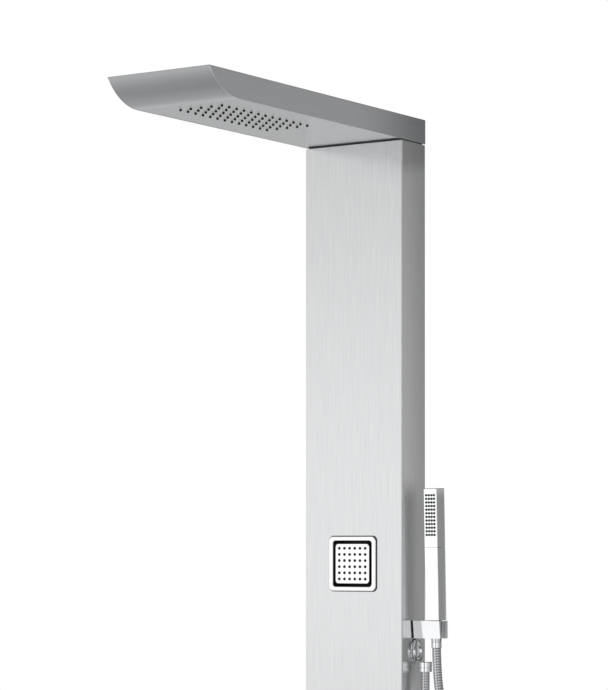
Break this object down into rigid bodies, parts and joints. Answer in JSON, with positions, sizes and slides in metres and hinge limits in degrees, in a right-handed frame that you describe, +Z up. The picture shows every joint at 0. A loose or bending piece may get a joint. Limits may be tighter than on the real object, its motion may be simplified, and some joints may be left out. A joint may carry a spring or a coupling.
{
  "type": "shower panel column",
  "caption": "Wall-hung shower panel: flat steel column with cantilevered rain arm, tilting square body jets, bar handset on a side holder and a hanging metal hose.",
  "frame": {"origin": "middle of the upper wall bracket's two screw holes, on the wall's face", "axes": "+Z up, +Y into the wall, +X to the right of someone who faces the panel"},
  "size_m": [0.3696, 0.58, 1.5462],
  "materials": {
    "brushed_steel": "brushed",
    "chrome": "polished",
    "silicone": "matte",
    "spacer_rubber": "matte",
    "brass": "machined",
    "pipe_plastic": "matte",
    "black_plastic": "matte",
    "zinc_steel": "zinc plated",
    "hose_steel": "polished spiral"
  },
  "bodies": {
    "panel": {"column_shell": "brushed_steel", "arm_shell": "brushed_steel", "arm_underside": "brushed_steel", "upper_jet_bezel": "chrome", "lower_jet_bezel": "chrome", "handset_holder": "chrome", "outlet_elbow": "chrome", "hose_end_nut": "chrome", "diverter_escutcheon": "chrome", "temperature_escutcheon": "chrome", "rain_nozzle_mat": "silicone", "arm_spacer": "spacer_rubber", "upper_jet_ball_stud": "brass", "lower_jet_ball_stud": "brass", "diverter_body": "brass", "valve_body": "brass", "diverter_cartridge": "brass", "temperature_cartridge": "brass", "elbow_lock_nut": "brass", "control_lock_nuts": "brass", "riser_pipe": "pipe_plastic", "riser_elbow": "pipe_plastic", "arm_feed_pipe": "pipe_plastic", "jet_feed_pipe": "pipe_plastic", "jet_tees": "pipe_plastic", "handset_feed_pipe": "pipe_plastic", "handset_feed_elbow": "pipe_plastic", "mixer_pipe": "pipe_plastic", "rain_chamber": "black_plastic", "upper_jet_housing": "black_plastic", "lower_jet_housing": "black_plastic", "upper_jet_retainer": "black_plastic", "lower_jet_retainer": "black_plastic", "top_cap": "black_plastic", "bottom_cap": "black_plastic", "upper_wall_bracket": "zinc_steel", "lower_wall_bracket": "zinc_steel", "upper_hanger_bar": "zinc_steel", "lower_hanger_bar": "zinc_steel", "arm_post": "zinc_steel", "arm_bolts": "zinc_steel", "holder_screws": "zinc_steel", "hose": "hose_steel"},
    "temperature_dial": {"temperature_knob": "chrome"},
    "stop_button": {"stop_button": "chrome"},
    "diverter_dial": {"diverter_knob": "chrome"},
    "upper_jet_seat": {"upper_jet_ball_seat": "black_plastic"},
    "upper_jet_spray": {"upper_jet_head": "chrome", "upper_jet_face": "chrome", "upper_jet_nozzles": "silicone"},
    "lower_jet_seat": {"lower_jet_ball_seat": "black_plastic"},
    "lower_jet_spray": {"lower_jet_head": "chrome", "lower_jet_face": "chrome", "lower_jet_nozzles": "silicone"},
    "hose_end": {"hose_ferrule": "brass"},
    "handset": {"hose_cone_nut": "chrome", "handset_head": "chrome", "handset_nozzles": "silicone", "handset_handle": "chrome", "handset_spigot": "brass"}
  },
  "joints": [
    {"name": "temperature_turn", "type": "hinge", "parent": "panel", "child": "temperature_dial", "pos_m": [0, -0.087, -1.065], "axis": [0, -1, 0], "range_deg": [-135, 135]},
    {"name": "stop_button_press", "type": "slide", "parent": "temperature_dial", "child": "stop_button", "axis": [0, 0, -1], "range_m": [0, 0.0018], "stiffness_N_per_m": 500, "springref_m": -0.002},
    {"name": "diverter_turn", "type": "hinge", "parent": "panel", "child": "diverter_dial", "pos_m": [0, -0.087, -0.925], "axis": [0, -1, 0], "range_deg": [-60, 60]},
    {"name": "upper_jet_pan", "type": "hinge", "parent": "panel", "child": "upper_jet_seat", "pos_m": [0, -0.0545, -0.509], "axis": [0, 0, 1], "range_deg": [-10, 10]},
    {"name": "upper_jet_tilt", "type": "hinge", "parent": "upper_jet_seat", "child": "upper_jet_spray", "pos_m": [0, -0.0545, -0.509], "axis": [1, 0, 0], "range_deg": [-10, 10]},
    {"name": "lower_jet_pan", "type": "hinge", "parent": "panel", "child": "lower_jet_seat", "pos_m": [0, -0.0545, -0.775], "axis": [0, 0, 1], "range_deg": [-10, 10]},
    {"name": "lower_jet_tilt", "type": "hinge", "parent": "lower_jet_seat", "child": "lower_jet_spray", "pos_m": [0, -0.0545, -0.775], "axis": [1, 0, 0], "range_deg": [-10, 10]},
    {"name": "handset_lift", "type": "slide", "parent": "panel", "child": "hose_end", "axis": [0, -0.0332, 0.9995], "range_m": [0, 0.08]},
    {"name": "handset_swivel", "type": "hinge", "parent": "hose_end", "child": "handset", "pos_m": [0.127, -0.0285, -0.6115], "axis": [0, -0.0332, 0.9995], "range_deg": [-45, 45]}
  ]
}
